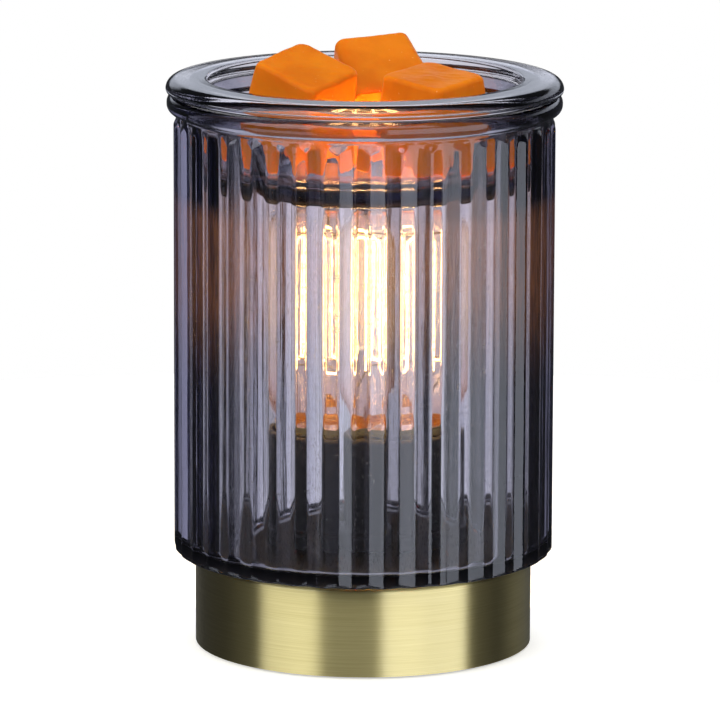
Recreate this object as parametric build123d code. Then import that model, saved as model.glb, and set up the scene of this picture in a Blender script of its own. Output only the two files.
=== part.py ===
"""Plug-in wax melt warmer: a ribbed glass shade on a brass drum, a lamp inside and a lift-out glass dish."""
from build123d import *
from math import atan2, cos, radians, sin, sqrt, tan
import os

# Driving dimensions, in millimetres and degrees

# Brass drum
base_radius = 48.5
base_height = 25.6
base_wall = 1.2
base_edge_round = 1.4
base_inner_round = 0.6

# Cord inlet in the back of the drum
inlet_height = 11.0
inlet_bore_radius = 3.2
inlet_neck_wall = 1.6
inlet_flange_reach = 2.2
inlet_flange_thickness = 1.5
inlet_inner_length = 2.0
inlet_clearance = 0.1

# Bottom cover with its lugs, screws and feet
cover_thickness = 2.6
cover_gap = 0.3
fixing_count = 4
fixing_turn = 22.5
fixing_inset = 6.3
lug_width = 10.0
lug_thickness = 1.5
lug_height = 8.0
lug_bend_round = 1.0
lug_weld_gap = 0.1
screw_radius = 1.5
screw_head_radius = 2.8
screw_head_height = 1.4
screw_tail = 2.5
screw_clearance = 0.15
foot_radius = 5.0
foot_drop = 0.6
foot_pocket = 0.9
foot_inset = 8.3
foot_edge_round = 0.3
foot_clearance = 0.1

# Glass shade
shade_wall = 3.5
shade_floor = 3.0
shade_inner_round = 3.0
shade_bottom_round = 2.6
rib_count = 39
rib_turn = 1.6
rib_depth = 1.3
rib_crest_round = 2.0
rib_valley_round = 3.2
rib_run_out = 2.8
neck_height = 1.2
neck_inset = 1.2
lip_height = 5.6
lip_overhang = 1.9
lip_round = 2.5
lip_mouth_round = 0.8

# Seals under and over the shade's floor
gasket_thickness = 0.8
gasket_width = 15.0
gasket_inset = 0.6
washer_thickness = 1.0

# Threaded tube that clamps the lamp holder, shade and drum together
nipple_radius = 5.0
nipple_bore_radius = 3.4
nipple_grip = 3.5
nipple_tail = 2.0
nipple_clearance = 0.1
nipple_hole_gap = 0.5
nut_height = 5.0
nut_across_flats = 14.0
lock_washer_thickness = 1.2
lock_washer_rim = 3.4

# Lamp holder
socket_wall = 2.1
socket_floor = 5.0
socket_flange_reach = 2.5
socket_flange_height = 3.5
socket_round = 1.2
shell_wall = 0.4
shell_clearance = 0.15
shell_drop = 1.5
shell_seat = 0.9
thread_clearance = 0.25
contact_rise = 3.0
contact_width = 5.0
contact_sheet = 0.5
contact_pad_reach = 1.4
contact_tip_reach = 2.5
tag_width = 6.0
terminal_circle_radius = 9.2
terminal_radius = 1.2
terminal_head_radius = 2.3
terminal_head_height = 1.2
terminal_depth = 3.0

# Lamp
cap_radius = 13.1
cap_length = 20.1
cap_wall = 0.35
cap_taper = 2.0
cap_reveal = 2.6
insulator_height = 4.0
insulator_top_radius = 9.0
tip_radius = 4.6
tip_height = 1.4
tip_round = 0.6
tip_gap = 0.1
bulb_radius = 19.0
bulb_glass_height = 62.9
bulb_wall = 0.7
bulb_neck_gap = 0.5
bulb_neck_tuck = 4.0
bulb_shoulder = 12.0
bulb_neck_round = 3.0
bulb_shoulder_round = 8.0
bulb_crown_round = 13.0
stem_gap = 0.2
stem_flare_height = 1.0
stem_press_height = 9.0
stem_press_radius = 3.6
stem_cone_height = 3.0
stem_rod_radius = 1.3
stem_button_radius = 2.2
stem_button_height = 2.4
filament_legs = 10
filament_rise = 16.4
filament_crown_gap = 7.6
filament_wall_gap = 7.0
filament_radius = 0.35
filament_bend = 2.2
support_radius = 0.25
support_reach = 0.8
wire_gap = 0.05

# Glass dish
bulb_headroom = 6.0
dish_floor = 5.0
dish_wall = 4.0
dish_foot_round = 5.0
dish_clearance = 0.8
bowl_depth = 26.5
bowl_slope = 14.0
bowl_round = 7.0
rim_thickness = 4.6
rim_width = 11.8
rim_top_round = 3.0
rim_under_round = 1.4
rim_inner_round = 1.2

# Wax melts, tapered as they leave their mould
wax_large = 23.5
wax_small = 20.3
wax_height = 24.6
wax_corner_round = 2.4
wax_crown_round = 1.3
wax_rim_round = 0.5
wax_wall_gap = 0.5
wax_seat = 0.2

# How each melt lies: its turn about its own axis, its lean towards the front and its roll to the right
left_angles = (54.2, 19.2, 9.5)
right_angles = (50.2, 8.2, 1.4)
back_angles = (27.7, -52.4, -27.1)

# Where each melt lies in the bowl, to the right and to the back, as ratios of its width
left_ratios = (-0.77, -0.16)
right_ratios = (0.80, -0.27)
back_ratios = (0.245, 0.955)

# Heights, worked out from the table upwards
z_base = foot_drop
z_base_top = z_base + base_height
z_cover_top = z_base + cover_thickness
z_inlet = z_base + inlet_height
z_shade = z_base_top + gasket_thickness
z_shade_floor = z_shade + shade_floor
z_socket = z_shade_floor + washer_thickness
z_cavity = z_socket + socket_floor
z_tip = z_cavity + contact_rise + tip_gap
z_insulator = z_tip + tip_height
z_cap = z_insulator + insulator_height
z_cap_top = z_cap + cap_length
z_socket_top = z_cap_top - cap_reveal
z_bulb_top = z_cap_top + bulb_glass_height
z_dish = z_bulb_top + bulb_headroom
z_bowl = z_dish + dish_floor
z_rim = z_bowl + bowl_depth
z_lip_top = z_rim - rim_thickness
z_lip = z_lip_top - lip_height
z_neck = z_lip - neck_height
z_rib_top = z_neck - rib_run_out

# Radii of the drum, the clamp and the lamp holder
base_inside = base_radius - base_wall
fixing_radius = base_inside - fixing_inset
foot_circle_radius = base_inside - foot_inset
foot_turn = fixing_turn + 180.0 / fixing_count
nipple_hole_radius = nipple_radius + nipple_hole_gap
shell_inside = cap_radius + thread_clearance
shell_outside = shell_inside + shell_wall
socket_bore = shell_outside + shell_clearance
socket_radius = socket_bore + socket_wall
socket_flange_radius = socket_radius + socket_flange_reach
shell_floor_hole = shell_inside - shell_seat
inlet_neck_radius = inlet_bore_radius + inlet_neck_wall
inlet_flange_radius = inlet_neck_radius + inlet_flange_reach

# Radii and heights inside the lamp
bulb_neck_radius = cap_radius - cap_wall - bulb_neck_gap
cage_radius = bulb_radius - filament_wall_gap
z_stem = z_cap_top - bulb_neck_tuck
z_press = z_stem + stem_press_height
z_filament = z_cap_top + filament_rise
z_filament_top = z_bulb_top - filament_crown_gap
leg_step = 360.0 / filament_legs


def turned(*outline):
    """Solid turned about Z from an outline of (radius, height) points; a third number rounds that corner."""
    points = [(corner[0], 0, corner[1]) for corner in outline]
    rounds = [corner[2] if len(corner) > 2 else 0 for corner in outline]
    return revolve(make_face(FilletPolyline(*points, radius=rounds, close=True)), Axis.Z)


def polar(radius, angle, height=0.0):
    """Point at a radius and an angle in degrees about Z."""
    return Vector(radius * cos(radians(angle)), radius * sin(radians(angle)), height)


def post(radius, bottom, top):
    """Upright round post on the Z axis between two heights."""
    return Pos(0, 0, bottom) * Cylinder(radius, top - bottom, align=(Align.CENTER, Align.CENTER, Align.MIN))


def ring(outer, inner, bottom, top):
    """Flat ring about Z between two heights."""
    return post(outer, bottom, top) - post(inner, bottom, top)


def rod(start, end, radius):
    """Straight round wire between two points."""
    along = end - start
    wire = Cylinder(radius, along.length, align=(Align.CENTER, Align.CENTER, Align.MIN))
    return Plane(origin=start, z_dir=along) * wire


def around(solid, count, turn=0.0):
    """Copies of a solid spaced evenly about Z, as a list."""
    return [Rot(0, 0, turn + 360.0 * k / count) * solid for k in range(count)]


def group(solids):
    """Several separate solids in one node."""
    return Compound(children=[Compound(solid.solids()) for solid in solids])


# Wax melts and the bowl that takes them
def melt_pose(angles):
    """Turn of a melt: about its own axis, then its lean, then its roll."""
    turn, lean, roll = angles
    return Rot(0, roll, 0) * Rot(lean, 0, 0) * Rot(0, 0, turn)


def melt_shift(angles, ratios):
    """Move that brings the middle of a turned melt over its place in the bowl."""
    middle = (melt_pose(angles) * Pos(0, 0, wax_height / 2)).position
    return Vector(ratios[0] * wax_large - middle.X, ratios[1] * wax_large - middle.Y, 0)


def melt_corners(angles, ratios):
    """The eight corners of a melt in its place, with the lowest one on the bowl's floor."""
    corners = []
    for side, height in ((wax_large, 0), (wax_small, wax_height)):
        for x, y in ((-1, -1), (1, -1), (1, 1), (-1, 1)):
            corner = melt_pose(angles) * Pos(x * side / 2, y * side / 2, height)
            corners.append(corner.position)
    lowest = min(corner.Z for corner in corners)
    shift = melt_shift(angles, ratios) - Vector(0, 0, lowest)
    return [corner + shift for corner in corners]


def bowl_need(angles, ratios):
    """Radius of the bowl's floor at which the sloping wall just touches a melt."""
    slope = tan(radians(bowl_slope))
    return max(sqrt(corner.X**2 + corner.Y**2) - corner.Z * slope for corner in melt_corners(angles, ratios))


bowl_floor_radius = wax_wall_gap + max(
    bowl_need(left_angles, left_ratios),
    bowl_need(right_angles, right_ratios),
    bowl_need(back_angles, back_ratios),
)
bowl_mouth_radius = bowl_floor_radius + bowl_depth * tan(radians(bowl_slope))
dish_radius = bowl_mouth_radius + dish_wall
dish_foot_radius = dish_radius - (z_lip_top - z_dish) * tan(radians(bowl_slope))
rim_radius = bowl_mouth_radius + rim_width
shade_bore = dish_radius + dish_clearance
rib_valley = shade_bore + shade_wall
rib_crest = rib_valley + rib_depth
neck_radius = rib_crest - neck_inset
lip_radius = rib_crest + lip_overhang


def wax_melt(angles, ratios):
    """Tapered block with rounded corners, crown and foot, tipped over in the bowl."""
    crown = Pos(0, 0, wax_height) * Rectangle(wax_small, wax_small)
    block = loft([Rectangle(wax_large, wax_large).face(), crown.face()])
    upright = block.edges().filter_by(lambda edge: edge.bounding_box().size.Z > wax_height / 2)
    block = fillet(upright, wax_corner_round)
    block = fillet(block.faces().sort_by(Axis.Z)[-1].edges(), wax_crown_round)
    block = fillet(block.faces().sort_by(Axis.Z)[0].edges(), wax_rim_round)
    tipped = melt_pose(angles) * block
    lift = z_bowl + wax_seat - tipped.bounding_box().min.Z
    return Pos(melt_shift(angles, ratios) + Vector(0, 0, lift)) * tipped


def melt_dish():
    """Pressed bowl that hangs in the shade's mouth by a wide flat rim."""
    return turned(
        (0, z_dish),
        (dish_foot_radius, z_dish, dish_foot_round),
        (dish_radius, z_lip_top),
        (rim_radius, z_lip_top, rim_under_round),
        (rim_radius, z_rim, rim_top_round),
        (bowl_mouth_radius, z_rim, rim_inner_round),
        (bowl_floor_radius, z_bowl, bowl_round),
        (0, z_bowl),
    )


# Glass shade
def ribbed_block():
    """Upright block whose outline is a ring of pleats: flat sides that meet in rounded crests and valleys.

    A round cuts its corner back, so the corners lie that much further out or in.
    """
    half_step = 180.0 / rib_count
    slope = atan2(rib_depth, rib_valley * radians(half_step))
    cut = 1 / cos(slope) - 1
    corners = []
    for k in range(rib_count):
        angle = rib_turn - 90.0 + 2 * k * half_step
        corners.append(polar(rib_crest + rib_crest_round * cut, angle))
        corners.append(polar(rib_valley - rib_valley_round * cut, angle + half_step))
    rounds = [rib_crest_round, rib_valley_round] * rib_count
    outline = FilletPolyline(*corners, radius=rounds, close=True)
    return Pos(0, 0, z_shade) * extrude(make_face(outline), z_neck - z_shade)


def glass_shade():
    """Ribbed tumbler with a floor: ribs run out under a plain neck and a rolled lip."""
    clear = rib_crest + rib_depth / 4
    envelope = turned(
        (0, z_shade),
        (clear, z_shade, shade_bottom_round),
        (clear, z_rib_top, rib_run_out),
        (neck_radius, z_neck),
        (0, z_neck),
    )
    lip = turned(
        (shade_bore, z_rib_top),
        (rib_valley, z_rib_top),
        (neck_radius, z_neck),
        (neck_radius, z_lip),
        (lip_radius, z_lip, lip_round),
        (lip_radius, z_lip_top, lip_round),
        (shade_bore, z_lip_top, lip_mouth_round),
    )
    inside = turned(
        (0, z_shade_floor),
        (shade_bore, z_shade_floor, shade_inner_round),
        (shade_bore, z_neck),
        (0, z_neck),
    )
    hole = post(nipple_hole_radius, z_shade, z_shade_floor)
    return (ribbed_block() & envelope) - inside - hole + lip


def shade_gasket():
    """Flat ring between the drum and the shade's floor."""
    outer = base_radius - base_edge_round - gasket_inset
    return ring(outer, outer - gasket_width, z_base_top, z_shade)


def socket_washer():
    """Flat ring between the shade's floor and the lamp holder."""
    return ring(socket_flange_radius, nipple_hole_radius, z_shade_floor, z_socket)


# Brass drum and its cover
def base_shell():
    """Drawn drum, open below, with a hole for the threaded tube and one for the cord inlet."""
    drum = turned(
        (nipple_hole_radius, z_base_top),
        (base_radius, z_base_top, base_edge_round),
        (base_radius, z_base),
        (base_inside, z_base),
        (base_inside, z_base_top - base_wall, base_inner_round),
        (nipple_hole_radius, z_base_top - base_wall),
    )
    inlet = post(inlet_neck_radius + inlet_clearance, base_inside / 2, base_radius + base_wall)
    return drum - Pos(0, 0, z_inlet) * Rot(-90, 0, 0) * inlet


def cord_grommet():
    """Bush in the back of the drum, with a flange on each side of the wall."""
    sag = base_inside - sqrt(base_inside**2 - inlet_flange_radius**2)
    wall_out = base_radius + inlet_clearance
    wall_in = base_inside - sag - inlet_clearance
    bush = turned(
        (inlet_bore_radius, wall_in - inlet_inner_length, inlet_clearance),
        (inlet_flange_radius, wall_in - inlet_inner_length, inlet_inner_length / 2),
        (inlet_flange_radius, wall_in),
        (inlet_neck_radius, wall_in),
        (inlet_neck_radius, wall_out),
        (inlet_flange_radius, wall_out),
        (inlet_flange_radius, wall_out + inlet_flange_thickness, inlet_flange_thickness / 2),
        (inlet_bore_radius, wall_out + inlet_flange_thickness, inlet_clearance),
    )
    return Pos(0, 0, z_inlet) * Rot(-90, 0, 0) * bush


def base_lugs():
    """Bent tabs welded inside the drum, each tapped for a cover screw."""
    reach = fixing_radius - lug_width / 2
    wall = base_inside - lug_weld_gap
    bend = turned(
        (reach, z_cover_top),
        (wall, z_cover_top, lug_bend_round),
        (wall, z_cover_top + lug_height),
        (wall - lug_thickness, z_cover_top + lug_height),
        (wall - lug_thickness, z_cover_top + lug_thickness),
        (reach, z_cover_top + lug_thickness),
    )
    strip = Box(base_radius, lug_width, 2 * base_height, align=(Align.MIN, Align.CENTER, Align.CENTER))
    hole = post(screw_radius + nipple_clearance, z_cover_top, z_cover_top + lug_thickness)
    lug = (bend & strip) - Pos(fixing_radius, 0, 0) * hole
    return group(around(lug, fixing_count, fixing_turn))


def bottom_cover():
    """Flat disc that closes the drum, with pockets for the feet and sunk screw holes."""
    cover = post(base_inside - cover_gap, z_base, z_cover_top)
    head = post(screw_head_radius + screw_clearance, z_base, z_base + screw_head_height + screw_clearance)
    shank = post(screw_radius + screw_clearance, z_base, z_cover_top)
    pocket = post(foot_radius + foot_clearance, z_base, z_base + foot_pocket)
    for hole in around(Pos(fixing_radius, 0, 0) * (head + shank), fixing_count, fixing_turn):
        cover -= hole
    for hole in around(Pos(foot_circle_radius, 0, 0) * pocket, fixing_count, foot_turn):
        cover -= hole
    return cover


def cover_screws():
    """Pan-head screws that hold the cover to the lugs."""
    seat = z_base + screw_head_height + screw_clearance
    screw = turned(
        (0, seat - screw_head_height),
        (screw_head_radius, seat - screw_head_height, screw_head_height / 2),
        (screw_head_radius, seat),
        (screw_radius, seat),
        (screw_radius, z_cover_top + lug_thickness + screw_tail, screw_radius / 3),
        (0, z_cover_top + lug_thickness + screw_tail),
    )
    return group(around(Pos(fixing_radius, 0, 0) * screw, fixing_count, fixing_turn))


def rubber_feet():
    """Round pads set into the cover, which the warmer stands on."""
    foot = turned(
        (0, 0),
        (foot_radius, 0, foot_edge_round),
        (foot_radius, z_base + foot_pocket),
        (0, z_base + foot_pocket),
    )
    return group(around(Pos(foot_circle_radius, 0, 0) * foot, fixing_count, foot_turn))


# Threaded tube, washer and nut
z_plate_under = z_base_top - base_wall
z_nut = z_plate_under - lock_washer_thickness - nut_height


def socket_nipple():
    """Threaded tube through the floor of the shade and the top of the drum."""
    return ring(nipple_radius, nipple_bore_radius, z_nut - nipple_tail, z_socket + nipple_grip)


def nipple_washer():
    """Lock washer under the top of the drum."""
    inner = nipple_radius + nipple_clearance
    return ring(inner + lock_washer_rim, inner, z_plate_under - lock_washer_thickness, z_plate_under)


def nipple_nut():
    """Hexagon nut that pulls the stack together."""
    outline = RegularPolygon(nut_across_flats / 2, 6, major_radius=False)
    nut = Pos(0, 0, z_nut) * extrude(outline, nut_height)
    return nut - post(nipple_radius + nipple_clearance, z_nut, z_nut + nut_height)


# Lamp holder
def lamp_socket():
    """Moulded cup with a flanged foot, tapped below for the tube and drilled for two terminals."""
    cup = turned(
        (nipple_radius + nipple_clearance, z_socket),
        (socket_flange_radius, z_socket),
        (socket_flange_radius, z_socket + socket_flange_height, socket_round),
        (socket_radius, z_socket + socket_flange_height, socket_round),
        (socket_radius, z_socket_top, socket_round),
        (socket_bore, z_socket_top),
        (socket_bore, z_cavity),
        (nipple_radius + nipple_clearance, z_cavity),
    )
    hole = post(terminal_radius + nipple_clearance, z_cavity - terminal_depth, z_cavity)
    for drilled in around(Pos(terminal_circle_radius, 0, 0) * hole, 2):
        cup -= drilled
    return cup


def socket_screw_shell():
    """Thin sleeve that takes the lamp's cap, with a tag for its terminal."""
    sleeve = turned(
        (shell_floor_hole, z_cavity),
        (shell_outside, z_cavity),
        (shell_outside, z_socket_top - shell_drop),
        (shell_inside, z_socket_top - shell_drop),
        (shell_inside, z_cavity + shell_wall),
        (shell_floor_hole, z_cavity + shell_wall),
    )
    inner = nipple_radius + contact_pad_reach
    tag = Box(shell_inside - inner, tag_width, shell_wall, align=(Align.MIN, Align.CENTER, Align.MIN))
    hole = post(terminal_radius + nipple_clearance, z_cavity, z_cavity + shell_wall)
    return sleeve + Pos(inner, 0, z_cavity) * tag - Pos(terminal_circle_radius, 0, 0) * hole


def socket_contact():
    """Bent spring strip from its terminal to the middle, under the lamp's tip."""
    rise = contact_rise - contact_sheet
    outer = shell_floor_hole - contact_sheet
    inner = nipple_radius + contact_pad_reach
    strip = Polyline(
        (-outer, 0, z_cavity),
        (-inner, 0, z_cavity),
        (-contact_tip_reach, 0, z_cavity + rise),
        (contact_tip_reach, 0, z_cavity + rise),
        (contact_tip_reach, 0, z_cavity + rise + contact_sheet),
        (-contact_tip_reach, 0, z_cavity + rise + contact_sheet),
        (-inner, 0, z_cavity + contact_sheet),
        (-outer, 0, z_cavity + contact_sheet),
        close=True,
    )
    spring = extrude(make_face(strip), contact_width / 2, both=True)
    hole = post(terminal_radius + nipple_clearance, z_cavity, z_cavity + contact_sheet)
    return spring - Pos(-terminal_circle_radius, 0, 0) * hole


def terminal_screws():
    """Two screws that hold the contact and the sleeve's tag in the holder's floor."""
    screws = []
    for side, sheet in ((1, shell_wall), (-1, contact_sheet)):
        top = z_cavity + sheet
        screw = turned(
            (0, top - sheet - terminal_depth),
            (terminal_radius, top - sheet - terminal_depth),
            (terminal_radius, top),
            (terminal_head_radius, top),
            (terminal_head_radius, top + terminal_head_height, terminal_head_height / 3),
            (0, top + terminal_head_height),
        )
        screws.append(Pos(side * terminal_circle_radius, 0, 0) * screw)
    return group(screws)


# Lamp
def bulb_cap():
    """Sheet-metal screw cap, tapered to the insulator."""
    inside = cap_radius - cap_wall
    return turned(
        (insulator_top_radius - cap_wall, z_cap),
        (insulator_top_radius, z_cap),
        (cap_radius, z_cap + cap_taper),
        (cap_radius, z_cap_top),
        (inside, z_cap_top),
        (inside, z_cap + cap_taper + cap_wall),
        (insulator_top_radius - cap_wall, z_cap + cap_wall),
    )


def bulb_insulator():
    """Black glass cone between the cap and the tip."""
    return turned((0, z_insulator), (tip_radius, z_insulator), (insulator_top_radius, z_cap), (0, z_cap))


def bulb_tip():
    """Round solder contact at the lamp's foot."""
    return turned((0, z_tip), (tip_radius, z_tip, tip_round), (tip_radius, z_insulator), (0, z_insulator))


def bulb_envelope():
    """Thin tubular glass with a round crown and a neck tucked into the cap."""
    z_shoulder = z_cap_top + bulb_shoulder
    inner_neck = bulb_neck_radius - bulb_wall
    inner = bulb_radius - bulb_wall
    return turned(
        (bulb_neck_radius, z_stem),
        (bulb_neck_radius, z_cap_top, bulb_neck_round),
        (bulb_radius, z_shoulder, bulb_shoulder_round),
        (bulb_radius, z_bulb_top, bulb_crown_round),
        (0, z_bulb_top),
        (0, z_bulb_top - bulb_wall),
        (inner, z_bulb_top - bulb_wall, bulb_crown_round - bulb_wall),
        (inner, z_shoulder, bulb_shoulder_round),
        (inner_neck, z_cap_top, bulb_neck_round),
        (inner_neck, z_stem),
    )


z_top_hooks = z_filament_top - filament_radius - support_radius - wire_gap
z_low_hooks = z_filament + filament_radius + support_radius + wire_gap


def bulb_stem():
    """Glass mount: a flare in the neck, a press and a rod with a button at each row of hooks."""
    flare = bulb_neck_radius - bulb_wall - stem_gap
    half = stem_button_height / 2
    return turned(
        (0, z_stem),
        (flare, z_stem),
        (flare, z_stem + stem_flare_height),
        (stem_press_radius, z_stem + stem_press_height / 2, stem_press_radius / 2),
        (stem_press_radius, z_press),
        (stem_rod_radius, z_press + stem_cone_height),
        (stem_rod_radius, z_low_hooks - half),
        (stem_button_radius, z_low_hooks - half),
        (stem_button_radius, z_low_hooks + half),
        (stem_rod_radius, z_low_hooks + half),
        (stem_rod_radius, z_top_hooks - half),
        (stem_button_radius, z_top_hooks - half),
        (stem_button_radius, z_top_hooks + half),
        (0, z_top_hooks + half),
    )


def filament():
    """One wire that runs up and down a cage of upright legs, bent round at every turn."""
    points = []
    for leg in range(filament_legs):
        foot = polar(cage_radius, leg * leg_step, z_filament)
        head = polar(cage_radius, leg * leg_step, z_filament_top)
        points += [foot, head] if leg % 2 == 0 else [head, foot]
    path = FilletPolyline(*points, radius=filament_bend)
    return sweep(Plane(origin=path @ 0, z_dir=path % 0) * Circle(filament_radius), path)


def filament_supports():
    """Hooks that hold the wire: one through each bend, from the button at that height."""
    start = stem_button_radius + wire_gap
    end = cage_radius * cos(radians(leg_step / 2)) + support_reach
    hooks = []
    for bend in range(filament_legs - 1):
        height = z_top_hooks if bend % 2 == 0 else z_low_hooks
        angle = (bend + 0.5) * leg_step
        hooks.append(rod(polar(start, angle, height), polar(end, angle, height), support_radius))
    return group(hooks)


def filament_leads():
    """Two lead wires from the press to the ends of the wire."""
    leads = []
    for leg in (0, filament_legs - 1):
        root = stem_press_radius + wire_gap + support_radius
        start = polar(root, leg * leg_step, z_press - stem_cone_height)
        end = polar(cage_radius, leg * leg_step, z_filament - support_radius - wire_gap)
        leads.append(rod(start, end, support_radius))
    return group(leads)


nodes = {
    "wax_melt_left": wax_melt(left_angles, left_ratios),
    "wax_melt_back": wax_melt(back_angles, back_ratios),
    "wax_melt_right": wax_melt(right_angles, right_ratios),
    "melt_dish": melt_dish(),
    "glass_shade": glass_shade(),
    "shade_gasket": shade_gasket(),
    "socket_washer": socket_washer(),
    "lamp_socket": lamp_socket(),
    "socket_screw_shell": socket_screw_shell(),
    "socket_contact": socket_contact(),
    "terminal_screws": terminal_screws(),
    "socket_nipple": socket_nipple(),
    "nipple_washer": nipple_washer(),
    "nipple_nut": nipple_nut(),
    "bulb_envelope": bulb_envelope(),
    "bulb_stem": bulb_stem(),
    "filament": filament(),
    "filament_supports": filament_supports(),
    "filament_leads": filament_leads(),
    "bulb_cap": bulb_cap(),
    "bulb_insulator": bulb_insulator(),
    "bulb_tip": bulb_tip(),
    "base_shell": base_shell(),
    "base_lugs": base_lugs(),
    "bottom_cover": bottom_cover(),
    "cover_screws": cover_screws(),
    "rubber_feet": rubber_feet(),
    "cord_grommet": cord_grommet(),
}

os.makedirs("parts", exist_ok=True)
for name, shape in nodes.items():
    export_step(shape, f"parts/{name}.step")

print(f"rim {2 * rim_radius:.1f} wide and {z_rim:.1f} high")
print(f"shade {2 * rib_crest:.1f} wide over its ribs, bowl {2 * bowl_floor_radius:.1f} wide at its floor")
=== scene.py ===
"""Looks of the wax melt warmer: smoke glass, brushed brass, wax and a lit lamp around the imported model."""
from math import cos, pi, radians, sin

import bpy
import numpy as np
from mathutils import Euler, Matrix, Vector


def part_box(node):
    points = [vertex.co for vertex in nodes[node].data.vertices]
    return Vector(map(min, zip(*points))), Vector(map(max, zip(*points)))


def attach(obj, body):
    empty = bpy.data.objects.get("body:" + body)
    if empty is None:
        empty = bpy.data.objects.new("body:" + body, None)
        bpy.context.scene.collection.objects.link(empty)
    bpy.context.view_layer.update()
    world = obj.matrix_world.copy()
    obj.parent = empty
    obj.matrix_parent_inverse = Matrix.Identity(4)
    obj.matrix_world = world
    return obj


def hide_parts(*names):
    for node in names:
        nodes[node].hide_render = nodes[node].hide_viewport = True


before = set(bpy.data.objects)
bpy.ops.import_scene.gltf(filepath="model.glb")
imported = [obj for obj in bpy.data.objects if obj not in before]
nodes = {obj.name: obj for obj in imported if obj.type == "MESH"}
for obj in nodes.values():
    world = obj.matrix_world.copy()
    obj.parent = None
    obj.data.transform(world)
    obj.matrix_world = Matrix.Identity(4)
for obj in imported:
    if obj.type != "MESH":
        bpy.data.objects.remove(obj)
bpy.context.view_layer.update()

MM = 0.001

# Sizes of the glass, in millimetres, as the solids have them
rib_count = 39
rib_turn = 1.6
rib_depth = 1.3
rib_crest_round = 2.0
rib_valley_round = 3.2
rib_run_out = 2.8
rib_foot_round = 2.6
rib_clear = rib_depth / 4
neck_height = 1.2
neck_inset = 1.2
lip_height = 5.6
lip_overhang = 1.9
lip_round = 2.5
mouth_round = 0.8
shade_wall = 3.5
shade_floor = 3.0
shade_inner_round = 3.0
tube_hole = 5.5

dish_wall = 4.0
dish_floor = 5.0
dish_foot_round = 5.0
bowl_slope = 14.0
bowl_round = 7.0
rim_thickness = 4.6
rim_width = 11.8
rim_top_round = 3.0
rim_under_round = 1.4
rim_inner_round = 1.2

# Soft details of the glass that the solids leave out, in millimetres
glass_gap = 0.06
fire_polish = 0.22
rib_top_blend = 0.9
rim_crown = 0.5

# Rows in the mesh of the ribs' feet, sides and ends
foot_rows_count = 12
wall_rows_count = 7
end_rows_count = 18

# Sizes of the lamp's glass
bulb_wall = 0.7
bulb_neck_radius = 12.25
bulb_shoulder = 12.0
bulb_neck_round = 3.0
bulb_shoulder_round = 8.0
bulb_crown_round = 13.0

# Sizes of a wax melt and how each one lies in the bowl
wax_large = 23.5
wax_small = 20.3
wax_height = 24.6
wax_corner_round = 2.4
wax_crown_round = 1.3
wax_rim_round = 0.5
wax_dent_depth = 0.10
wax_dent_wave = 9.0
wax_grain_depth = 0.035
wax_grain_wave = 3.0
# Turn, lean and roll of each melt, in degrees
melt_angles = {
    "wax_melt_left": (54.2, 19.2, 9.5),
    "wax_melt_right": (50.2, 8.2, 1.4),
    "wax_melt_back": (27.7, -52.4, -27.1),
}
# Growth of each melt against its solid, then how far it moves to the right and to the back, in millimetres
melt_growth = {
    "wax_melt_left": (1.08, -0.3, -0.8),
    "wax_melt_right": (1.07, 0.4, -2.2),
    "wax_melt_back": (1.08, -1.2, -0.8),
}


def box_mm(node):
    """Lowest and highest corner of a node, in millimetres."""
    low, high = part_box(node)
    return np.array(low) / MM, np.array(high) / MM


shade_low, shade_high = box_mm("glass_shade")
dish_low, dish_high = box_mm("melt_dish")
bulb_low, bulb_high = box_mm("bulb_envelope")
cap_high = box_mm("bulb_cap")[1]
wire_low = box_mm("filament")[0][2]


# Meshes
def skin(name, grid, loop=False, first_pole=False, last_pole=False):
    """Mesh over a grid of points in millimetres, rows by columns, closed round its columns.

    loop joins the last row to the first, and a pole row shrinks to its first point.
    """
    rows, columns = grid.shape[:2]
    index = np.arange(rows * columns).reshape(rows, columns)
    if first_pole:
        index[0] = index[0, 0]
    if last_pole:
        index[-1] = index[-1, 0]
    upper = np.roll(index, -1, axis=0) if loop else index[1:]
    lower = index if loop else index[:-1]
    quads = np.stack([lower, np.roll(lower, -1, 1), np.roll(upper, -1, 1), upper], axis=-1).reshape(-1, 4)
    used, flat = np.unique(quads, return_inverse=True)
    quads = flat.reshape(-1, 4)
    points = grid.reshape(-1, 3)[used] * MM
    below = quads[:, 0] == quads[:, 1]
    above = quads[:, 2] == quads[:, 3]
    whole = ~(below | above)
    faces = quads[whole].tolist() + quads[below][:, [0, 2, 3]].tolist() + quads[above][:, :3].tolist()
    mesh = bpy.data.meshes.new(name)
    mesh.from_pydata(points.tolist(), [], faces)
    mesh.polygons.foreach_set("use_smooth", np.ones(len(mesh.polygons), bool))
    mesh.update()
    piece = bpy.data.objects.new(name, mesh)
    bpy.context.scene.collection.objects.link(piece)
    return piece


def supported(points, reach=0.25):
    """Profile with a point added close to both ends of each long straight run, where shading stays flat."""
    step = np.diff(points, axis=0)
    length = np.hypot(step[:, 0], step[:, 1])
    long = np.flatnonzero(length > 4 * reach)
    along = step[long] / length[long, None] * reach
    extra = np.stack([points[long] + along, points[long + 1] - along], axis=1).reshape(-1, 2)
    return np.insert(points, np.repeat(long + 1, 2), extra, axis=0)


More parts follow.
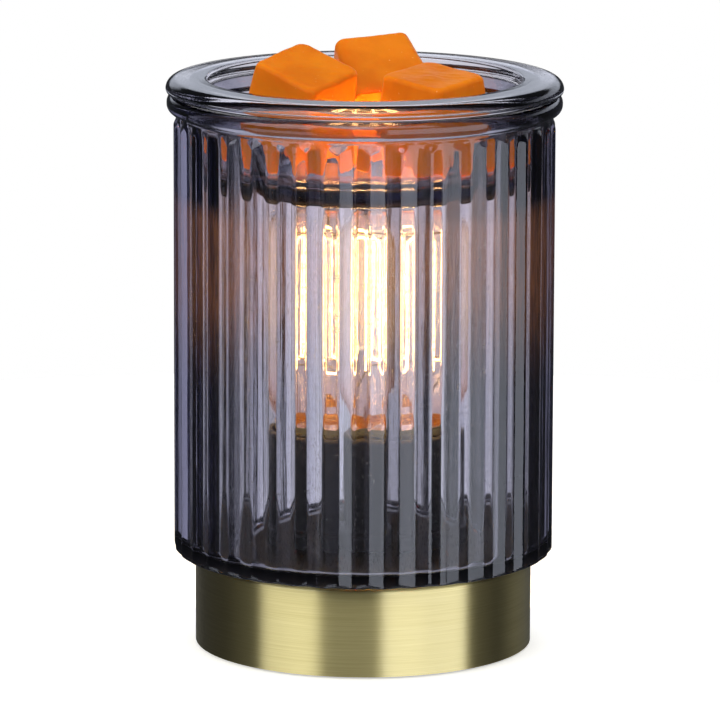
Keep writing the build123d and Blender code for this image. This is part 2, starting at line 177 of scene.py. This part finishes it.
def rounded(*corners, steps=9):
    """Profile of (radius, height, round) corners: a round becomes an arc that touches both its sides."""
    points = np.array([corner[:2] for corner in corners], float)
    parts = []
    for k, corner in enumerate(corners):
        if len(corner) < 3 or corner[2] == 0:
            parts.append(points[k:k + 1])
            continue
        before = points[k - 1] - points[k]
        after = points[(k + 1) % len(corners)] - points[k]
        before /= np.hypot(*before)
        after /= np.hypot(*after)
        half = np.arccos(np.clip(before @ after, -1, 1)) / 2
        middle = (before + after) / np.hypot(*(before + after))
        centre = points[k] + middle * corner[2] / sin(half)
        start = points[k] + before * corner[2] / np.tan(half) - centre
        end = points[k] + after * corner[2] / np.tan(half) - centre
        turn = pi - 2 * half
        share = np.linspace(0, 1, 4 if corner[2] < 1 else steps)[:, None]
        arc = (np.sin((1 - share) * turn) * start + np.sin(share * turn) * end) / sin(turn)
        parts.append(centre + arc)
    return supported(np.vstack(parts))


def spun(profile, angle):
    """Grid of a profile turned about Z: radius times the cosine and sine of each angle, and height."""
    x = profile[:, :1] * np.cos(angle)
    y = profile[:, :1] * np.sin(angle)
    z = np.repeat(profile[:, 1:], len(angle), axis=1)
    return np.stack([x, y, z], axis=-1)


def full_turn(columns):
    """Angles spaced evenly over one turn."""
    return np.arange(columns) * 2 * pi / columns


def soft_min(a, b, blend):
    """Smaller of two lengths, with the crossing rounded over the blend."""
    mix = np.clip(0.5 + 0.5 * (b - a) / blend, 0, 1)
    return b + (a - b) * mix - blend * mix * (1 - mix)


def soft_max(a, b, blend):
    """Larger of two lengths, with the crossing rounded over the blend."""
    return -soft_min(-a, -b, blend)


# Glass shade
lip_radius = shade_high[0]
rib_crest = lip_radius - lip_overhang
rib_valley = rib_crest - rib_depth
shade_bore = rib_valley - shade_wall
neck_radius = rib_crest - neck_inset
shade_bottom = shade_low[2] + glass_gap
shade_inside = shade_low[2] + shade_floor - glass_gap
lip_top = shade_high[2] - glass_gap
lip_bottom = shade_high[2] - lip_height
neck_bottom = lip_bottom - neck_height
ribs_end = neck_bottom - rib_run_out


half_rib = pi / rib_count
half_width = rib_valley * half_rib
flank_lean = np.arctan2(rib_depth, half_width)
crest_share = rib_crest_round * sin(flank_lean) / half_width
valley_share = rib_valley_round * sin(flank_lean) / half_width


def pleats():
    """Angle and radius of each column of the ribs: flat sides between a rounded crest and a rounded valley.

    With s the share of the way from crest to valley, the drop grows as s squared on the crest, evenly on
    the side and as one minus (1 - s) squared in the valley, and the three parts meet with the same slope.
    """
    crest = np.linspace(0, crest_share, 4)
    valley = np.linspace(1 - valley_share, 1, 5)
    side = np.array([crest_share + 0.03, 0.45, 1 - valley_share - 0.03])
    share = np.concatenate([crest, side, valley])
    grade = 1 / (1 - (crest_share + valley_share) / 2)
    drop = np.concatenate([
        grade * crest**2 / (2 * crest_share),
        grade * (side - crest_share / 2),
        1 - grade * (1 - valley)**2 / (2 * valley_share),
    ])
    way = np.concatenate([-share[:0:-1], share[:-1]])
    radius = rib_crest - rib_depth * np.concatenate([drop[:0:-1], drop[:-1]])
    first = radians(rib_turn - 90)
    angle = first + (2 * np.arange(rib_count)[:, None] + way) * half_rib
    return angle.ravel(), np.tile(radius, rib_count)


def shade_grid():
    """Rows of the shade: rounded rib feet, straight ribs, their run-out, then neck, lip, bore and floor."""
    angle, ribs = pleats()
    ribs = ribs[None, :]
    clear = rib_crest + rib_clear
    foot_turn = np.linspace(0, pi / 2, foot_rows_count)
    foot_limit = clear - rib_foot_round * (1 - np.sin(foot_turn))
    foot_height = shade_bottom + rib_foot_round * (1 - np.cos(foot_turn))
    foot_rows = soft_min(ribs, foot_limit[:, None], fire_polish)
    wall_height = np.linspace(shade_bottom + rib_foot_round + 0.5, ribs_end - 1.4, wall_rows_count)
    wall_rows = np.repeat(ribs, wall_rows_count, axis=0)
    run_out = rounded((clear, ribs_end - 6), (clear, ribs_end, rib_run_out), (neck_radius, neck_bottom))
    limit = supported(run_out)
    end_height = np.linspace(ribs_end - 1.0, neck_bottom, end_rows_count)
    end_limit = np.interp(end_height, limit[:, 1], limit[:, 0])[:, None]
    risen = np.clip((end_height - ribs_end) / rib_run_out, 0, 1)
    end_floor = rib_valley + (neck_radius - rib_valley) * risen
    blend = fire_polish + (rib_top_blend - fire_polish) * np.linspace(0, 1, end_rows_count)[:, None]
    end_rows = soft_max(soft_min(ribs, end_limit, blend), end_floor[:, None], blend)
    ribbed = np.vstack([foot_rows, wall_rows, end_rows])
    height = np.concatenate([foot_height, wall_height, end_height])[:, None] + 0 * ribbed
    outside = np.stack([ribbed * np.cos(angle), ribbed * np.sin(angle), height], axis=-1)
    turned = rounded(
        (neck_radius, neck_bottom + 0.3),
        (neck_radius, lip_bottom, 0.5),
        (lip_radius, lip_bottom, lip_round),
        (lip_radius, lip_top, lip_round),
        (shade_bore, lip_top, mouth_round),
        (shade_bore, shade_inside, shade_inner_round),
        (tube_hole, shade_inside, 0.3),
        (tube_hole, shade_bottom, 0.3),
        (foot_limit[0] - 0.6, shade_bottom),
    )
    return np.concatenate([outside, spun(turned, angle)], axis=0)


shade = skin("shade_glass", shade_grid(), loop=True)
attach(shade, "base")
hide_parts("glass_shade")

# Glass dish
rim_radius = dish_high[0]
rim_top = dish_high[2]
rim_under = rim_top - rim_thickness
bowl_mouth = rim_radius - rim_width
dish_bottom = dish_low[2]
bowl_bottom = dish_bottom + dish_floor
slope = np.tan(radians(bowl_slope))
dish_radius = bowl_mouth + dish_wall
dish_profile = rounded(
    (0, dish_bottom),
    (dish_radius - (rim_under - dish_bottom) * slope, dish_bottom, dish_foot_round),
    (dish_radius, rim_under, 0.8),
    (rim_radius, rim_under, rim_under_round),
    (rim_radius, rim_top - rim_crown, rim_top_round),
    (bowl_mouth + rim_width * 0.3, rim_top, rim_width * 0.9),
    (bowl_mouth, rim_top - rim_crown * 0.4, rim_inner_round),
    (bowl_mouth - (rim_top - bowl_bottom) * slope, bowl_bottom, bowl_round),
    (0, bowl_bottom),
    steps=12,
)
dish = skin("dish_glass", spun(dish_profile, full_turn(320)), first_pole=True, last_pole=True)
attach(dish, "dish")
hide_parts("melt_dish")

# Lamp glass
bulb_radius = bulb_high[0]
bulb_top = bulb_high[2]
cap_top = cap_high[2]
neck_end = bulb_low[2]
bulb_profile = rounded(
    (0, bulb_top - bulb_wall),
    (bulb_radius - bulb_wall, bulb_top - bulb_wall, bulb_crown_round - bulb_wall),
    (bulb_radius - bulb_wall, cap_top + bulb_shoulder, bulb_shoulder_round),
    (bulb_neck_radius - bulb_wall, cap_top, bulb_neck_round),
    (bulb_neck_radius - bulb_wall, neck_end),
    (bulb_neck_radius, neck_end),
    (bulb_neck_radius, cap_top, bulb_neck_round),
    (bulb_radius, cap_top + bulb_shoulder, bulb_shoulder_round),
    (bulb_radius, bulb_top, bulb_crown_round),
    (0, bulb_top),
    steps=24,
)
bulb = skin("lamp_glass", spun(bulb_profile, full_turn(128)), first_pole=True, last_pole=True)
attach(bulb, "lamp")
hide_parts("bulb_envelope")


# Wax melts
def ripple(points, wave, seed, count=10):
    """Smooth unevenness: a sum of sine waves in seeded directions, about one wave length apart."""
    draw = np.random.default_rng(seed)
    direction = draw.normal(size=(count, 3))
    direction /= np.linalg.norm(direction, axis=1)[:, None]
    turns = points @ (direction * draw.uniform(0.6, 1.5, count)[:, None]).T * 2 * pi / wave
    return np.sin(turns + draw.uniform(0, 2 * pi, count)).sum(axis=-1) / np.sqrt(count)


def melt_grid(columns=160):
    """Tapered block: rounded squares stacked from foot to crown, inset where foot and crown are rounded.

    A rounded square of half width w and corner round r is the square of half width w - r pushed out by r.
    """
    face = np.linspace(0, 1, 14)[:-1]
    bend = np.linspace(0, pi / 2, 8)
    side = np.linspace(wax_rim_round, wax_height - wax_crown_round, 26)[1:-1]
    low = wax_rim_round * (1 - np.cos(bend))
    high = wax_height - wax_crown_round * (1 - np.sin(bend))
    height = np.concatenate([0 * face, low, side, high, 0 * face + wax_height])
    taper = wax_large / 2 + (wax_small - wax_large) / 2 * height / wax_height
    inset = np.concatenate([
        0 * face + wax_rim_round,
        wax_rim_round * (1 - np.sin(bend)),
        0 * side,
        wax_crown_round * (1 - np.cos(bend)),
        0 * face + wax_crown_round,
    ])
    spread = np.concatenate([face, 0 * low + 1, 0 * side + 1, 0 * high + 1, face[::-1]])
    width = (taper - inset)[:, None]
    corner = np.minimum(wax_corner_round - 0 * width, width)
    turn = np.arange(columns) * 2 * pi / columns
    far = np.minimum(1 / np.maximum(np.abs(np.cos(turn)), np.abs(np.sin(turn))), 1.5)
    square = np.stack([np.cos(turn) * far, np.sin(turn) * far], axis=-1)
    flat = width[:, :, None] * square
    core = np.clip(flat, -(width - corner)[:, :, None], (width - corner)[:, :, None])
    out = flat - core
    size = np.linalg.norm(out, axis=-1, keepdims=True)
    outline = core + out / np.maximum(size, 1e-9) * np.minimum(size, corner[:, :, None])
    outline = outline * spread[:, None, None]
    return np.concatenate([outline, np.repeat(height[:, None, None], columns, axis=1)], axis=-1)


def melt(node, body, seed):
    """One melt: its block made uneven, turned, leaned and rolled, grown and set where its node lies."""
    block = melt_grid()
    middle = np.array([0, 0, wax_height / 2])
    away = block - middle
    away = away / np.linalg.norm(away, axis=-1, keepdims=True)
    dents = wax_dent_depth * ripple(block, wax_dent_wave, seed)
    grain = wax_grain_depth * ripple(block, wax_grain_wave, seed + 1)
    block = block + away * (dents + grain)[..., None]
    turn, lean, roll = (radians(value) for value in melt_angles[node])
    pose = Euler((lean, 0, 0)).to_matrix() @ Euler((0, 0, turn)).to_matrix()
    pose = Euler((0, roll, 0)).to_matrix() @ pose
    block = block @ np.array(pose).T
    growth, right, back = melt_growth[node]
    block = block * growth
    low, high = box_mm(node)
    flat = block.reshape(-1, 3)
    move = (low + high) / 2 - (flat.min(axis=0) + flat.max(axis=0)) / 2
    move[2] = low[2] - flat[:, 2].min()
    block = block + move + np.array([right, back, 0])
    piece = skin(node + "_wax", block, first_pole=True, last_pole=True)
    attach(piece, body)
    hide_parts(node)
    return piece


melts = [
    melt("wax_melt_left", "melt_left", 11),
    melt("wax_melt_back", "melt_back", 21),
    melt("wax_melt_right", "melt_right", 31),
]


# Finishes
class Flow:
    """A socket in a tree of shader nodes; sums on it add the Math nodes that work them out."""

    def __init__(self, tree, socket=None):
        self.tree = tree
        self.socket = socket

    def node(self, kind, settings=None, sockets=None, outlet=0):
        """Adds a node: its settings first, then the values or links of its sockets; gives one outlet."""
        made = self.tree.nodes.new(kind)
        for name, value in (settings or {}).items():
            if name == "stops":
                ramp = made.color_ramp
                while len(ramp.elements) < len(value):
                    ramp.elements.new(0.5)
                for stop, (place, colour) in zip(ramp.elements, value):
                    stop.position = place
                    stop.color = (*colour, 1)
            else:
                setattr(made, name, value)
        for name, value in (sockets or {}).items():
            if isinstance(value, Flow):
                self.tree.links.new(value.socket, made.inputs[name])
            else:
                made.inputs[name].default_value = value
        return Flow(self.tree, made.outputs[outlet] if made.outputs else None)

    def maths(self, operation, first, second=0.0):
        """One Math node."""
        return self.node("ShaderNodeMath", {"operation": operation}, {0: first, 1: second})

    def __add__(self, other):
        return self.maths("ADD", self, other)

    def __radd__(self, other):
        return self.maths("ADD", other, self)

    def __sub__(self, other):
        return self.maths("SUBTRACT", self, other)

    def __rsub__(self, other):
        return self.maths("SUBTRACT", other, self)

    def __mul__(self, other):
        return self.maths("MULTIPLY", self, other)

    def __rmul__(self, other):
        return self.maths("MULTIPLY", other, self)

    def __truediv__(self, other):
        return self.maths("DIVIDE", self, other)

    def within(self, low, high):
        """0 below low, 1 above high and a smooth step between them."""
        settings = {"interpolation_type": "SMOOTHSTEP"}
        return self.node("ShaderNodeMapRange", settings, {"Value": self, "From Min": low, "From Max": high})

    def blend(self, first, second):
        """Colour that goes from the first to the second as this value goes from 0 to 1."""
        first = first if isinstance(first, Flow) else (*first, 1)
        second = second if isinstance(second, Flow) else (*second, 1)
        return self.node("ShaderNodeMix", {"data_type": "RGBA"}, {0: self, 6: first, 7: second}, 2)


def new_finish(name):
    """Empty material and its tree."""
    material = bpy.data.materials.new(name)
    material.use_nodes = True
    material.node_tree.nodes.clear()
    return material, Flow(material.node_tree)


def place(flow, scale=(1, 1, 1)):
    """Object coordinates, stretched by a scale on each axis."""
    coordinates = flow.node("ShaderNodeTexCoord", outlet=3)
    return flow.node("ShaderNodeMapping", {}, {"Vector": coordinates, "Scale": scale})


def noise(flow, where, size, detail=2.0, rough=0.5):
    """Noise whose grains are about one over the size apart."""
    sockets = {"Vector": where, "Scale": size, "Detail": detail, "Roughness": rough}
    return flow.node("ShaderNodeTexNoise", {}, sockets)


def bump(flow, height, strength, distance):
    """Normal that a height leaves on the surface."""
    return flow.node("ShaderNodeBump", {}, {"Strength": strength, "Distance": distance, "Height": height})


def surface(flow, sockets):
    """Principled shader on the output."""
    shader = flow.node("ShaderNodeBsdfPrincipled", {}, sockets)
    flow.node("ShaderNodeOutputMaterial", {}, {"Surface": shader})


# Colours and strengths of the glass, and of the painted glow that stands in for the lamp light it catches
smoke_colour = (0.235, 0.235, 0.395)
shade_density = 190.0
dish_density = 65.0
glass_index = 1.52
glass_roughness = 0.018
floor_dullness = 0.55
floor_bed_share = 0.85
veil_share = 0.03
speck_share = 0.24
# Painted glow and glint: emission colours and strength standing in for lamp light on the bore and the dish's
# underside
bore_light = (0.167, 0.060, 0.017)
under_light = (1.0, 0.5, 0.1)
under_inner = 12
under_outer = 24
caught_light = 1.14


def smoke_glass(name, density):
    """Grey-lilac pressed glass: darker where light goes further through it, with faint draw lines.

    The shade's bore carries a thin grain of frosted specks and a painted glow, an emission that stands in
    for the lamp's light at the height of its wire. The shade's floor is dull, so that the dark gasket shows
    through it, and the middle of the dish's underside has a painted glint, an emission standing in for the
    lamp's light from below.
    """
    material, flow = new_finish(name)
    lines = noise(flow, place(flow, (1400, 1400, 25)), 1.0, 3.0)
    waves = noise(flow, place(flow, (60, 60, 30)), 1.0, 1.0)
    axes = flow.node("ShaderNodeSeparateXYZ", {}, {0: place(flow)}).socket.node
    x, y, z = (Flow(flow.tree, socket) for socket in axes.outputs)
    reach = x * x + y * y

    def beyond(inner, outer):
        """0 inside the smaller radius and 1 outside the larger one, in millimetres."""
        return reach.within((inner * MM)**2, (outer * MM)**2)

    def above(low, high):
        """0 below the lower height and 1 above the higher one, in millimetres."""
        return z.within(low * MM, high * MM)

    low = 1.0 - above(shade_inside + 0.4, shade_inside + 1.2)
    dull = low * (1.0 - beyond(shade_bore - 2.0, shade_bore))
    bore = 1.0 - beyond(shade_bore + 0.1, shade_bore + 0.5)
    bore = bore * beyond(shade_bore - 0.9, shade_bore - 0.3)
    bore = bore * (1.0 - above(dish_bottom - 2, dish_bottom))
    # Painted glow: emission on the shade's bore near the wire's height stands in for the lamp's light there
    lit = above(wire_low - 4, wire_low + 34)
    lit = lit * (1.0 - above(dish_bottom - 7, dish_bottom))
    streaks = noise(flow, place(flow, (1500, 1500, 90)), 1.0, 3.0).within(0.30, 0.75)
    # Painted glint: emission on the middle of the dish's underside stands in for the lamp's light from below
    under = (1.0 - above(dish_bottom + 0.3, dish_bottom + 1.2)) * streaks
    under = under * (1.0 - beyond(under_inner, under_outer))
    under = under * above(dish_bottom - 1.0, dish_bottom - 0.5)
    painted_bore_glow = (bore * lit * (0.35 + streaks)).blend((0, 0, 0), bore_light)
    clear = flow.node("ShaderNodeBsdfPrincipled", {}, {
        "Base Color": (1, 1, 1, 1),
        "Roughness": glass_roughness + dull * floor_dullness,
        "IOR": glass_index,
        "Transmission Weight": 1.0,
        "Emission Color": under.blend(painted_bore_glow, under_light),
        "Emission Strength": caught_light,
        "Normal": bump(flow, lines * 0.3 + waves, 0.12, 0.0004),
    })
    specks = noise(flow, place(flow, (2600, 2600, 700)), 1.0, 2.0).within(0.45, 0.75)
    veil = flow.node("ShaderNodeBsdfPrincipled", {}, {
        "Base Color": (1, 1, 1, 1),
        "Roughness": 0.75,
        "IOR": glass_index,
        "Transmission Weight": 1.0,
    })
    frosted = bore * (veil_share + specks * speck_share)
    both = flow.node("ShaderNodeMixShader", {}, {0: frosted, 1: clear, 2: veil})
    bed = flow.node("ShaderNodeBsdfRefraction", {}, {"Roughness": 0.3, "IOR": glass_index})
    both = flow.node("ShaderNodeMixShader", {}, {0: dull * floor_bed_share, 1: both, 2: bed})
    smoke = flow.node("ShaderNodeVolumeAbsorption", {}, {"Color": (*smoke_colour, 1), "Density": density})
    flow.node("ShaderNodeOutputMaterial", {}, {"Surface": both, "Volume": smoke})
    return material


def lamp_glass():
    """Clear thin lamp glass with a painted glow for the lamp's own light: amber by the cap, pale gold by the
    wire.
    """
    material, flow = new_finish("lamp_glass_clear")
    waves = noise(flow, place(flow, (90, 90, 50)), 1.0, 1.0)
    split = flow.node("ShaderNodeSeparateXYZ", {}, {0: place(flow)}, 2)
    height = (split - cap_top * MM) / ((bulb_top - cap_top) * MM)
    # Painted glow: emission colours up the glass stand in for the lamp's light, amber by the cap and gold by
    # the wire
    glow = flow.node("ShaderNodeValToRGB", {"stops": [
        (0.00, (0.85, 0.22, 0.02)),
        (0.14, (1.00, 0.28, 0.03)),
        (0.28, (0.42, 0.17, 0.04)),
        (0.46, (0.90, 0.54, 0.18)),
        (0.88, (0.95, 0.55, 0.18)),
        (0.96, (0.30, 0.12, 0.03)),
        (1.00, (0.06, 0.02, 0.00)),
    ]}, {"Fac": height})
    surface(flow, {
        "Base Color": (1, 1, 1, 1),
        "Roughness": 0.0,
        "IOR": 1.46,
        "Transmission Weight": 1.0,
        "Emission Color": glow,
        "Emission Strength": 0.08,
        "Normal": bump(flow, waves, 0.05, 0.0004),
    })
    return material


def orange_wax():
    """Waxy orange: cloudy colour, small pits, a few pale specks and a painted glow of lamp light from below.
    """
    material, flow = new_finish("orange_wax_cast")
    where = place(flow)
    clouds = noise(flow, where, 90.0, 3.0)
    grain = noise(flow, where, 900.0, 3.0)
    specks = noise(flow, where, 1700.0, 0.0).within(0.84, 0.87)
    colour = clouds.within(0.3, 0.7).blend((0.62, 0.150, 0.006), (0.72, 0.200, 0.008))
    colour = (specks * 0.5).blend(colour, (0.90, 0.62, 0.35))
    height = flow.node("ShaderNodeSeparateXYZ", {}, {0: where}, 2)
    # Painted glow: emission towards the foot of each melt stands in for the lamp's light soaking up from
    # below
    foot = 1.0 - height.within((bowl_bottom + 3) * MM, (rim_top + 3) * MM)
    surface(flow, {
        "Base Color": colour,
        "Roughness": 0.30 + grain * 0.16,
        "IOR": 1.44,
        "Specular IOR Level": 0.15,
        "Subsurface Weight": 0.55,
        "Subsurface Radius": (1.0, 0.30, 0.05),
        "Subsurface Scale": 0.008,
        "Emission Color": foot.blend((0, 0, 0), (1.0, 0.27, 0.02)),
        "Emission Strength": 0.5,
        "Normal": bump(flow, grain + clouds * 2, 0.18, 0.0003),
    })
    return material


def brushed_brass():
    """Antique brass brushed round the drum: fine lines that run round it, under a clear lacquer."""
    material, flow = new_finish("brushed_brass_lacquered")
    fine = noise(flow, place(flow, (60, 60, 9000)), 1.0, 2.0)
    coarse = noise(flow, place(flow, (30, 30, 2600)), 1.0, 3.0)
    lines = fine * 0.6 + coarse * 0.4
    colour = lines.within(0.25, 0.75).blend((0.66, 0.53, 0.19), (0.82, 0.69, 0.29))
    surface(flow, {
        "Base Color": colour,
        "Metallic": 1.0,
        "Roughness": 0.30 + lines * 0.10,
        "Anisotropic": 1.0,
        "Anisotropic Rotation": 0.25,
        "Coat Weight": 0.8,
        "Coat Roughness": 0.15,
        "Normal": bump(flow, lines, 0.08, 0.0003),
    })
    return material


def plain_metal(name, dark, bright, rough, lines):
    """Metal part: two near colours in its grain and a roughness that follows it."""
    material, flow = new_finish(name)
    grain = noise(flow, place(flow, lines), 1.0, 3.0)
    surface(flow, {
        "Base Color": grain.within(0.3, 0.7).blend(dark, bright),
        "Metallic": 1.0,
        "Roughness": rough + grain * 0.12,
        "Normal": bump(flow, grain, 0.12, 0.0002),
    })
    return material


def moulded(name, dark, bright, rough, size):
    """Moulded plastic or rubber: fine texture in its colour, gloss and normal."""
    material, flow = new_finish(name)
    grain = noise(flow, place(flow), size, 3.0)
    surface(flow, {
        "Base Color": grain.within(0.3, 0.7).blend(dark, bright),
        "Roughness": rough + grain * 0.15,
        "Normal": bump(flow, grain, 0.2, 0.0003),
    })
    return material


def glowing_wire():
    """Lit wire: white-hot with yellower turns along it."""
    material, flow = new_finish("glowing_wire_lit")
    turns = noise(flow, place(flow, (300, 300, 1200)), 1.0, 1.0)
    surface(flow, {
        "Base Color": (0.3, 0.2, 0.1, 1),
        "Roughness": 0.5,
        "Emission Color": turns.within(0.3, 0.7).blend((1.0, 0.46, 0.10), (1.0, 0.68, 0.26)),
        "Emission Strength": 15.0,
    })
    return material


shade.data.materials.append(smoke_glass("smoke_glass_pressed", shade_density))
dish.data.materials.append(smoke_glass("smoke_glass_thin", dish_density))
for piece in (shade, dish):
    piece.visible_shadow = False
bulb.data.materials.append(lamp_glass())
bulb.visible_shadow = False
wax = orange_wax()
for piece in melts:
    piece.data.materials.append(wax)

brass = plain_metal("plain_brass_bright", (0.58, 0.38, 0.12), (0.76, 0.55, 0.22), 0.22, (200, 200, 900))
zinc = plain_metal("zinc_steel_plated", (0.50, 0.50, 0.49), (0.66, 0.66, 0.64), 0.30, (500, 500, 500))
wire = plain_metal("support_wire_drawn", (0.30, 0.28, 0.25), (0.44, 0.42, 0.38), 0.35, (300, 300, 300))
solder = plain_metal("solder_dull", (0.50, 0.50, 0.48), (0.64, 0.64, 0.62), 0.45, (700, 700, 700))
socket_black = moulded("black_moulding_satin", (0.012, 0.012, 0.013), (0.022, 0.022, 0.023), 0.35, 900.0)
cover_black = moulded("black_plastic_eroded", (0.020, 0.020, 0.021), (0.034, 0.034, 0.035), 0.50, 1600.0)
rubber = moulded("black_rubber_matt", (0.018, 0.018, 0.018), (0.032, 0.032, 0.032), 0.62, 700.0)
black_glass = moulded("black_glass_glossy", (0.012, 0.012, 0.013), (0.020, 0.020, 0.021), 0.08, 400.0)

node_finishes = {
    "base_shell": brushed_brass(),
    "bulb_stem": bulb.data.materials[0],
    "filament": glowing_wire(),
    "filament_supports": wire,
    "filament_leads": wire,
    "bulb_cap": brass,
    "socket_screw_shell": brass,
    "socket_contact": brass,
    "terminal_screws": brass,
    "socket_nipple": zinc,
    "nipple_washer": zinc,
    "nipple_nut": zinc,
    "base_lugs": zinc,
    "cover_screws": zinc,
    "bulb_tip": solder,
    "bulb_insulator": black_glass,
    "lamp_socket": socket_black,
    "bottom_cover": cover_black,
    "rubber_feet": rubber,
    "cord_grommet": rubber,
    "socket_washer": rubber,
    "shade_gasket": rubber,
}
for name, material in node_finishes.items():
    for slot in nodes[name].material_slots:
        slot.material = material

# Stage
# Azimuths of the white sweep seen through the glass, from straight behind to the right, in degrees
sweep_left = -37.0
sweep_turn = -13.0
sweep_right = 15.0
# Brightness of the sweep's two parts, and number and brightness of the panels round the other sides
sweep_bright = 1.75
sweep_dim = 1.2
panel_count = 8.0
panel_level = 1.2
floor_profile = np.array([[0.0, 0.0], [60.0, 0.0], [400.0, 0.0]])
floor = skin("floor", spun(floor_profile, full_turn(96))[:, ::-1], first_pole=True)
floor.visible_glossy = False
floor.visible_transmission = False
material, flow = new_finish("pale_floor")
seen = flow.node("ShaderNodeLightPath") * 0.45
pale = flow.node("ShaderNodeBsdfDiffuse", {}, {"Color": (0.8, 0.8, 0.8, 1)})
shine = flow.node("ShaderNodeEmission", {}, {"Color": (1, 1, 1, 1), "Strength": seen})
both = flow.node("ShaderNodeAddShader", {}, {0: pale, 1: shine})
flow.node("ShaderNodeOutputMaterial", {}, {"Surface": both})
floor.data.materials.append(material)


def studio():
    """World: white to the camera; through glass, a sweep, panels and ground; in reflections, the cards.

    A card is a span of azimuths, counted from the camera's side to the right, and a span of heights.
    """
    world = bpy.data.worlds.new("studio")
    world.use_nodes = True
    world.node_tree.nodes.clear()
    bpy.context.scene.world = world
    flow = Flow(world.node_tree)
    path = flow.node("ShaderNodeLightPath").socket.node
    camera_ray = Flow(flow.tree, path.outputs["Is Camera Ray"])
    glass_ray = Flow(flow.tree, path.outputs["Is Transmission Ray"])
    mirror_ray = Flow(flow.tree, path.outputs["Is Glossy Ray"]) * (1.0 - glass_ray)
    towards = flow.node("ShaderNodeTexCoord", outlet=0)
    axes = flow.node("ShaderNodeSeparateXYZ", {}, {0: towards}).socket.node
    east = Flow(flow.tree, axes.outputs[0])
    north = Flow(flow.tree, axes.outputs[1])
    up = Flow(flow.tree, axes.outputs[2])
    azimuth = flow.maths("ARCTAN2", east, north * -1.0)

    def span(value, low, high, edge=0.02):
        """1 between two values, with soft edges."""
        return value.within(low - edge, low + edge) * (1.0 - value.within(high - edge, high + edge))

    def card(left, right, low, high, level):
        """Level inside a span of azimuths in degrees and of heights as sines."""
        return span(azimuth, radians(left), radians(right)) * span(up, low, high) * level

    behind = flow.maths("ARCTAN2", east, north)
    panels = flow.maths("COSINE", behind * panel_count).within(-0.35, 0.35)
    panels = panels * (1.0 - north.within(0.35, 0.45)) * panel_level
    panels = panels + span(behind, radians(sweep_left), radians(sweep_turn), 0.05) * sweep_bright
    panels = panels + span(behind, radians(sweep_turn), radians(sweep_right), 0.05) * sweep_dim
    ground = (1.0 - up.within(-0.50, -0.36)) * (0.7 - north.within(0.2, 0.6) * 0.6)
    through = panels * span(up, -0.40, 0.75, 0.06) + ground + 0.012
    dim_room = 0.045
    back_wall = span(up, 0.11, 0.34, 0.04) * north.within(0.2, 0.7) * east.within(-0.55, -0.30) * 0.9
    near_table = (1.0 - up.within(-0.65, -0.45)) * (1.0 - north.within(0.2, 0.6)) * 0.5
    right_card = card(left=13, right=75, low=-0.42, high=0.22, level=2.4)
    left_table = card(left=-75, right=-31, low=-0.60, high=-0.245, level=1.5)
    left_card = card(left=-75, right=-31, low=0.08, high=0.60, level=2.4)
    front_card = card(left=-31, right=13, low=0.20, high=0.50, level=0.3)
    high_card = card(left=-62, right=48, low=0.52, high=0.82, level=2.2)
    seen = dim_room + back_wall + near_table + right_card + left_table + left_card + front_card + high_card
    plain = (1.0 - mirror_ray) * (1.0 - camera_ray) * (1.0 - glass_ray)
    level = 0.30 * plain + camera_ray + mirror_ray * seen + glass_ray * through
    tint = mirror_ray.blend((1, 1, 1), (0.91, 0.97, 1.13))
    back = flow.node("ShaderNodeBackground", {}, {"Color": tint, "Strength": level})
    flow.node("ShaderNodeOutputWorld", {}, {"Surface": back})


studio()


def softbox(name, azimuth, distance, height, width, tall, power):
    """Area lamp that faces the warmer, at an azimuth counted from the camera's side to the right."""
    lamp = bpy.data.lights.new(name, "AREA")
    lamp.shape = "RECTANGLE"
    lamp.size = width
    lamp.size_y = tall
    lamp.energy = power
    piece = bpy.data.objects.new(name, lamp)
    turn = radians(azimuth)
    piece.location = (distance * sin(turn), -distance * cos(turn), height)
    aim = Vector((0, 0, 0.08)) - piece.location
    piece.rotation_euler = aim.to_track_quat("-Z", "Y").to_euler()
    piece.visible_glossy = False
    piece.visible_transmission = False
    bpy.context.scene.collection.objects.link(piece)
    return piece


softbox("left_softbox", azimuth=-52, distance=1.1, height=0.45, width=0.85, tall=0.9, power=8.0)
softbox("right_softbox", azimuth=44, distance=1.1, height=0.45, width=1.1, tall=0.9, power=6.5)
softbox("top_softbox", azimuth=180, distance=0.25, height=1.2, width=0.8, tall=0.8, power=8.0)

glow = bpy.data.lights.new("lamp_glow", "POINT")
glow.color = (1.0, 0.58, 0.18)
glow.energy = 1.1
glow.shadow_soft_size = 0.012
glow_piece = bpy.data.objects.new("lamp_glow", glow)
glow_piece.location = (0, 0, (cap_top + bulb_top) / 2 * MM)
glow_piece.visible_glossy = False
glow_piece.visible_transmission = False
bpy.context.scene.collection.objects.link(glow_piece)

# Camera, at the photograph's viewing angle
camera_distance = 1.721
camera_height = 0.4199
camera_fall = 11.0917
camera_turn = 0.037
camera_roll = 0.19
camera = bpy.data.cameras.new("camera")
camera.sensor_width = 36.0
camera.lens = 304.65
camera.clip_end = 20.0
viewer = bpy.data.objects.new("camera", camera)
pitch = Matrix.Rotation(radians(90 - camera_fall), 4, "X")
yaw = Matrix.Rotation(radians(camera_turn), 4, "Z")
roll = Matrix.Rotation(radians(camera_roll), 4, "Z")
viewer.matrix_world = Matrix.Translation((0, -camera_distance, camera_height)) @ yaw @ pitch @ roll
bpy.context.scene.collection.objects.link(viewer)
bpy.context.scene.camera = viewer

settings = bpy.context.scene.cycles
settings.max_bounces = 28
settings.transmission_bounces = 28
settings.glossy_bounces = 12
settings.transparent_max_bounces = 16
bpy.context.scene.view_settings.view_transform = "Standard"
